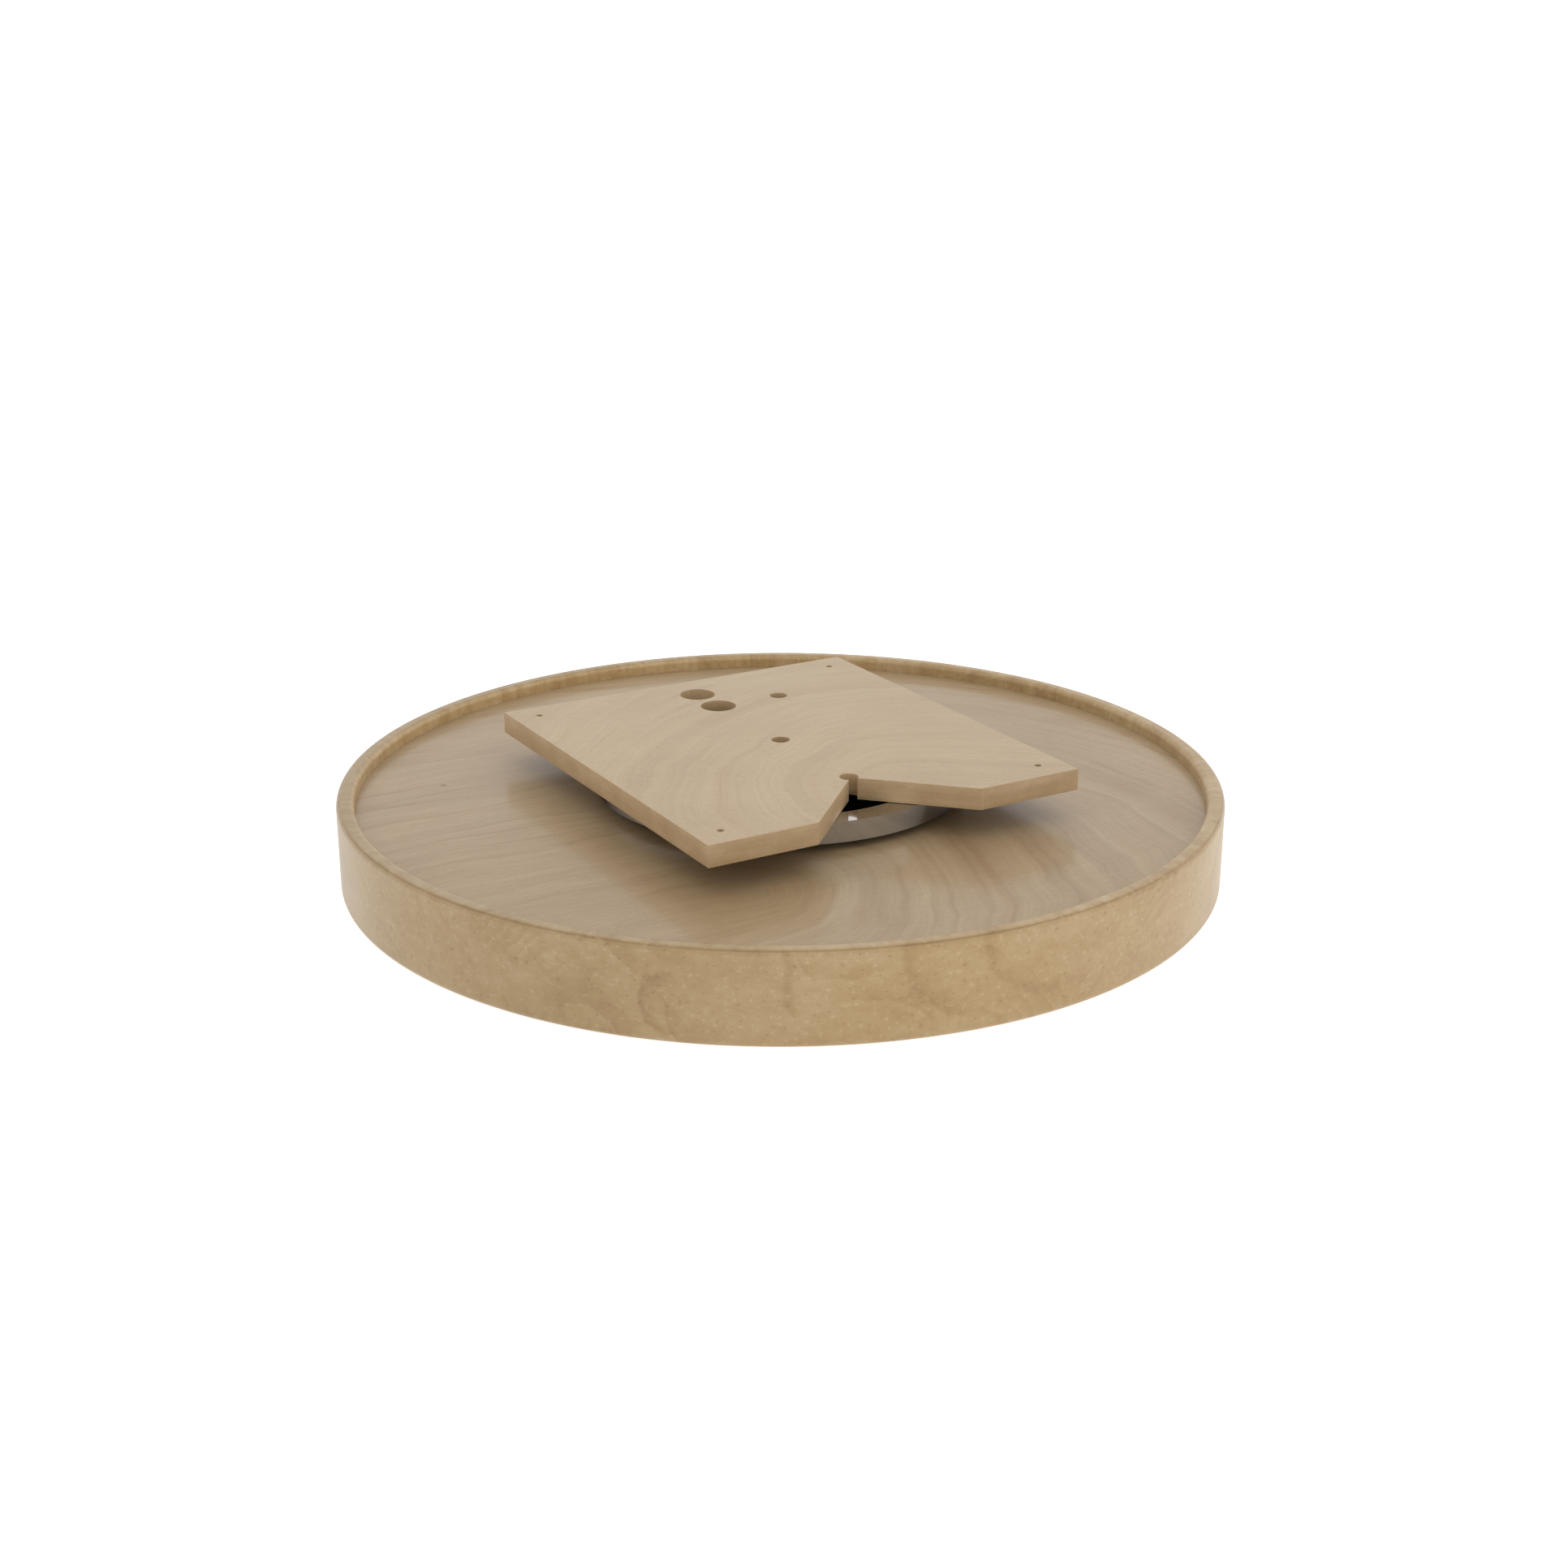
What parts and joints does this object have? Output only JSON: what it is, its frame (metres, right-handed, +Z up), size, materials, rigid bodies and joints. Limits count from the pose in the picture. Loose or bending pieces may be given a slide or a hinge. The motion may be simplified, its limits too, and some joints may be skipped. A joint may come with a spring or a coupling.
{
  "type": "lazy susan turntable",
  "caption": "Round wooden cabinet turntable lying upside down: a rimmed tray on a ball bearing ring under a rectangular mounting plate with holes and a V notch.",
  "frame": {"origin": "on the turning axis, in the plane of the rim edge that the turntable stands on", "axes": "+Z up along the turning axis, from the tray towards the mounting plate; +X along the plate's 11 inch sides, +Y along its 12 inch sides, with the V notch facing -Y"},
  "size_m": [0.6058, 0.6058, 0.0864],
  "materials": {
    "rim_maple": "satin lacquered maple veneer, bent band",
    "panel_maple": "semi-gloss lacquered maple plywood",
    "plate_maple": "satin maple plywood",
    "ring_chrome": "bright plated, slightly soft reflections",
    "disc_black": "matt black",
    "race_steel": "zinc plated",
    "cage_nylon": "natural nylon",
    "ball_steel": "polished",
    "screw_steel": "zinc plated"
  },
  "bodies": {
    "tray": {"rim_band": "rim_maple", "tray_panel": "panel_maple", "base_race": "race_steel", "race_cap": "race_steel", "tray_screw_1": "screw_steel", "tray_screw_2": "screw_steel", "tray_screw_3": "screw_steel", "tray_screw_4": "screw_steel", "tray_screw_5": "screw_steel", "tray_screw_6": "screw_steel"},
    "ball_cage": {"ball_cage": "cage_nylon", "ball_01": "ball_steel", "ball_02": "ball_steel", "ball_03": "ball_steel", "ball_04": "ball_steel", "ball_05": "ball_steel", "ball_06": "ball_steel", "ball_07": "ball_steel", "ball_08": "ball_steel", "ball_09": "ball_steel", "ball_10": "ball_steel", "ball_11": "ball_steel", "ball_12": "ball_steel", "ball_13": "ball_steel", "ball_14": "ball_steel", "ball_15": "ball_steel", "ball_16": "ball_steel", "ball_17": "ball_steel", "ball_18": "ball_steel", "ball_19": "ball_steel", "ball_20": "ball_steel", "ball_21": "ball_steel", "ball_22": "ball_steel", "ball_23": "ball_steel", "ball_24": "ball_steel"},
    "swivel_plate": {"mounting_plate": "plate_maple", "swivel_ring": "ring_chrome", "dust_disc": "disc_black", "plate_screw_1": "screw_steel", "plate_screw_2": "screw_steel", "plate_screw_3": "screw_steel", "plate_screw_4": "screw_steel", "plate_screw_5": "screw_steel", "plate_screw_6": "screw_steel"}
  },
  "joints": [
    {"name": "turntable_spin", "type": "hinge", "parent": "tray", "child": "swivel_plate", "pos_m": [0, 0, 0.06258], "axis": [0, 0, 1], "continuous": true},
    {"name": "cage_spin", "type": "hinge", "parent": "tray", "child": "ball_cage", "pos_m": [0, 0, 0.06258], "axis": [0, 0, 1], "continuous": true}
  ],
  "couplings": [
    {"joint": "cage_spin", "follows": "turntable_spin", "ratio": 0.5}
  ]
}
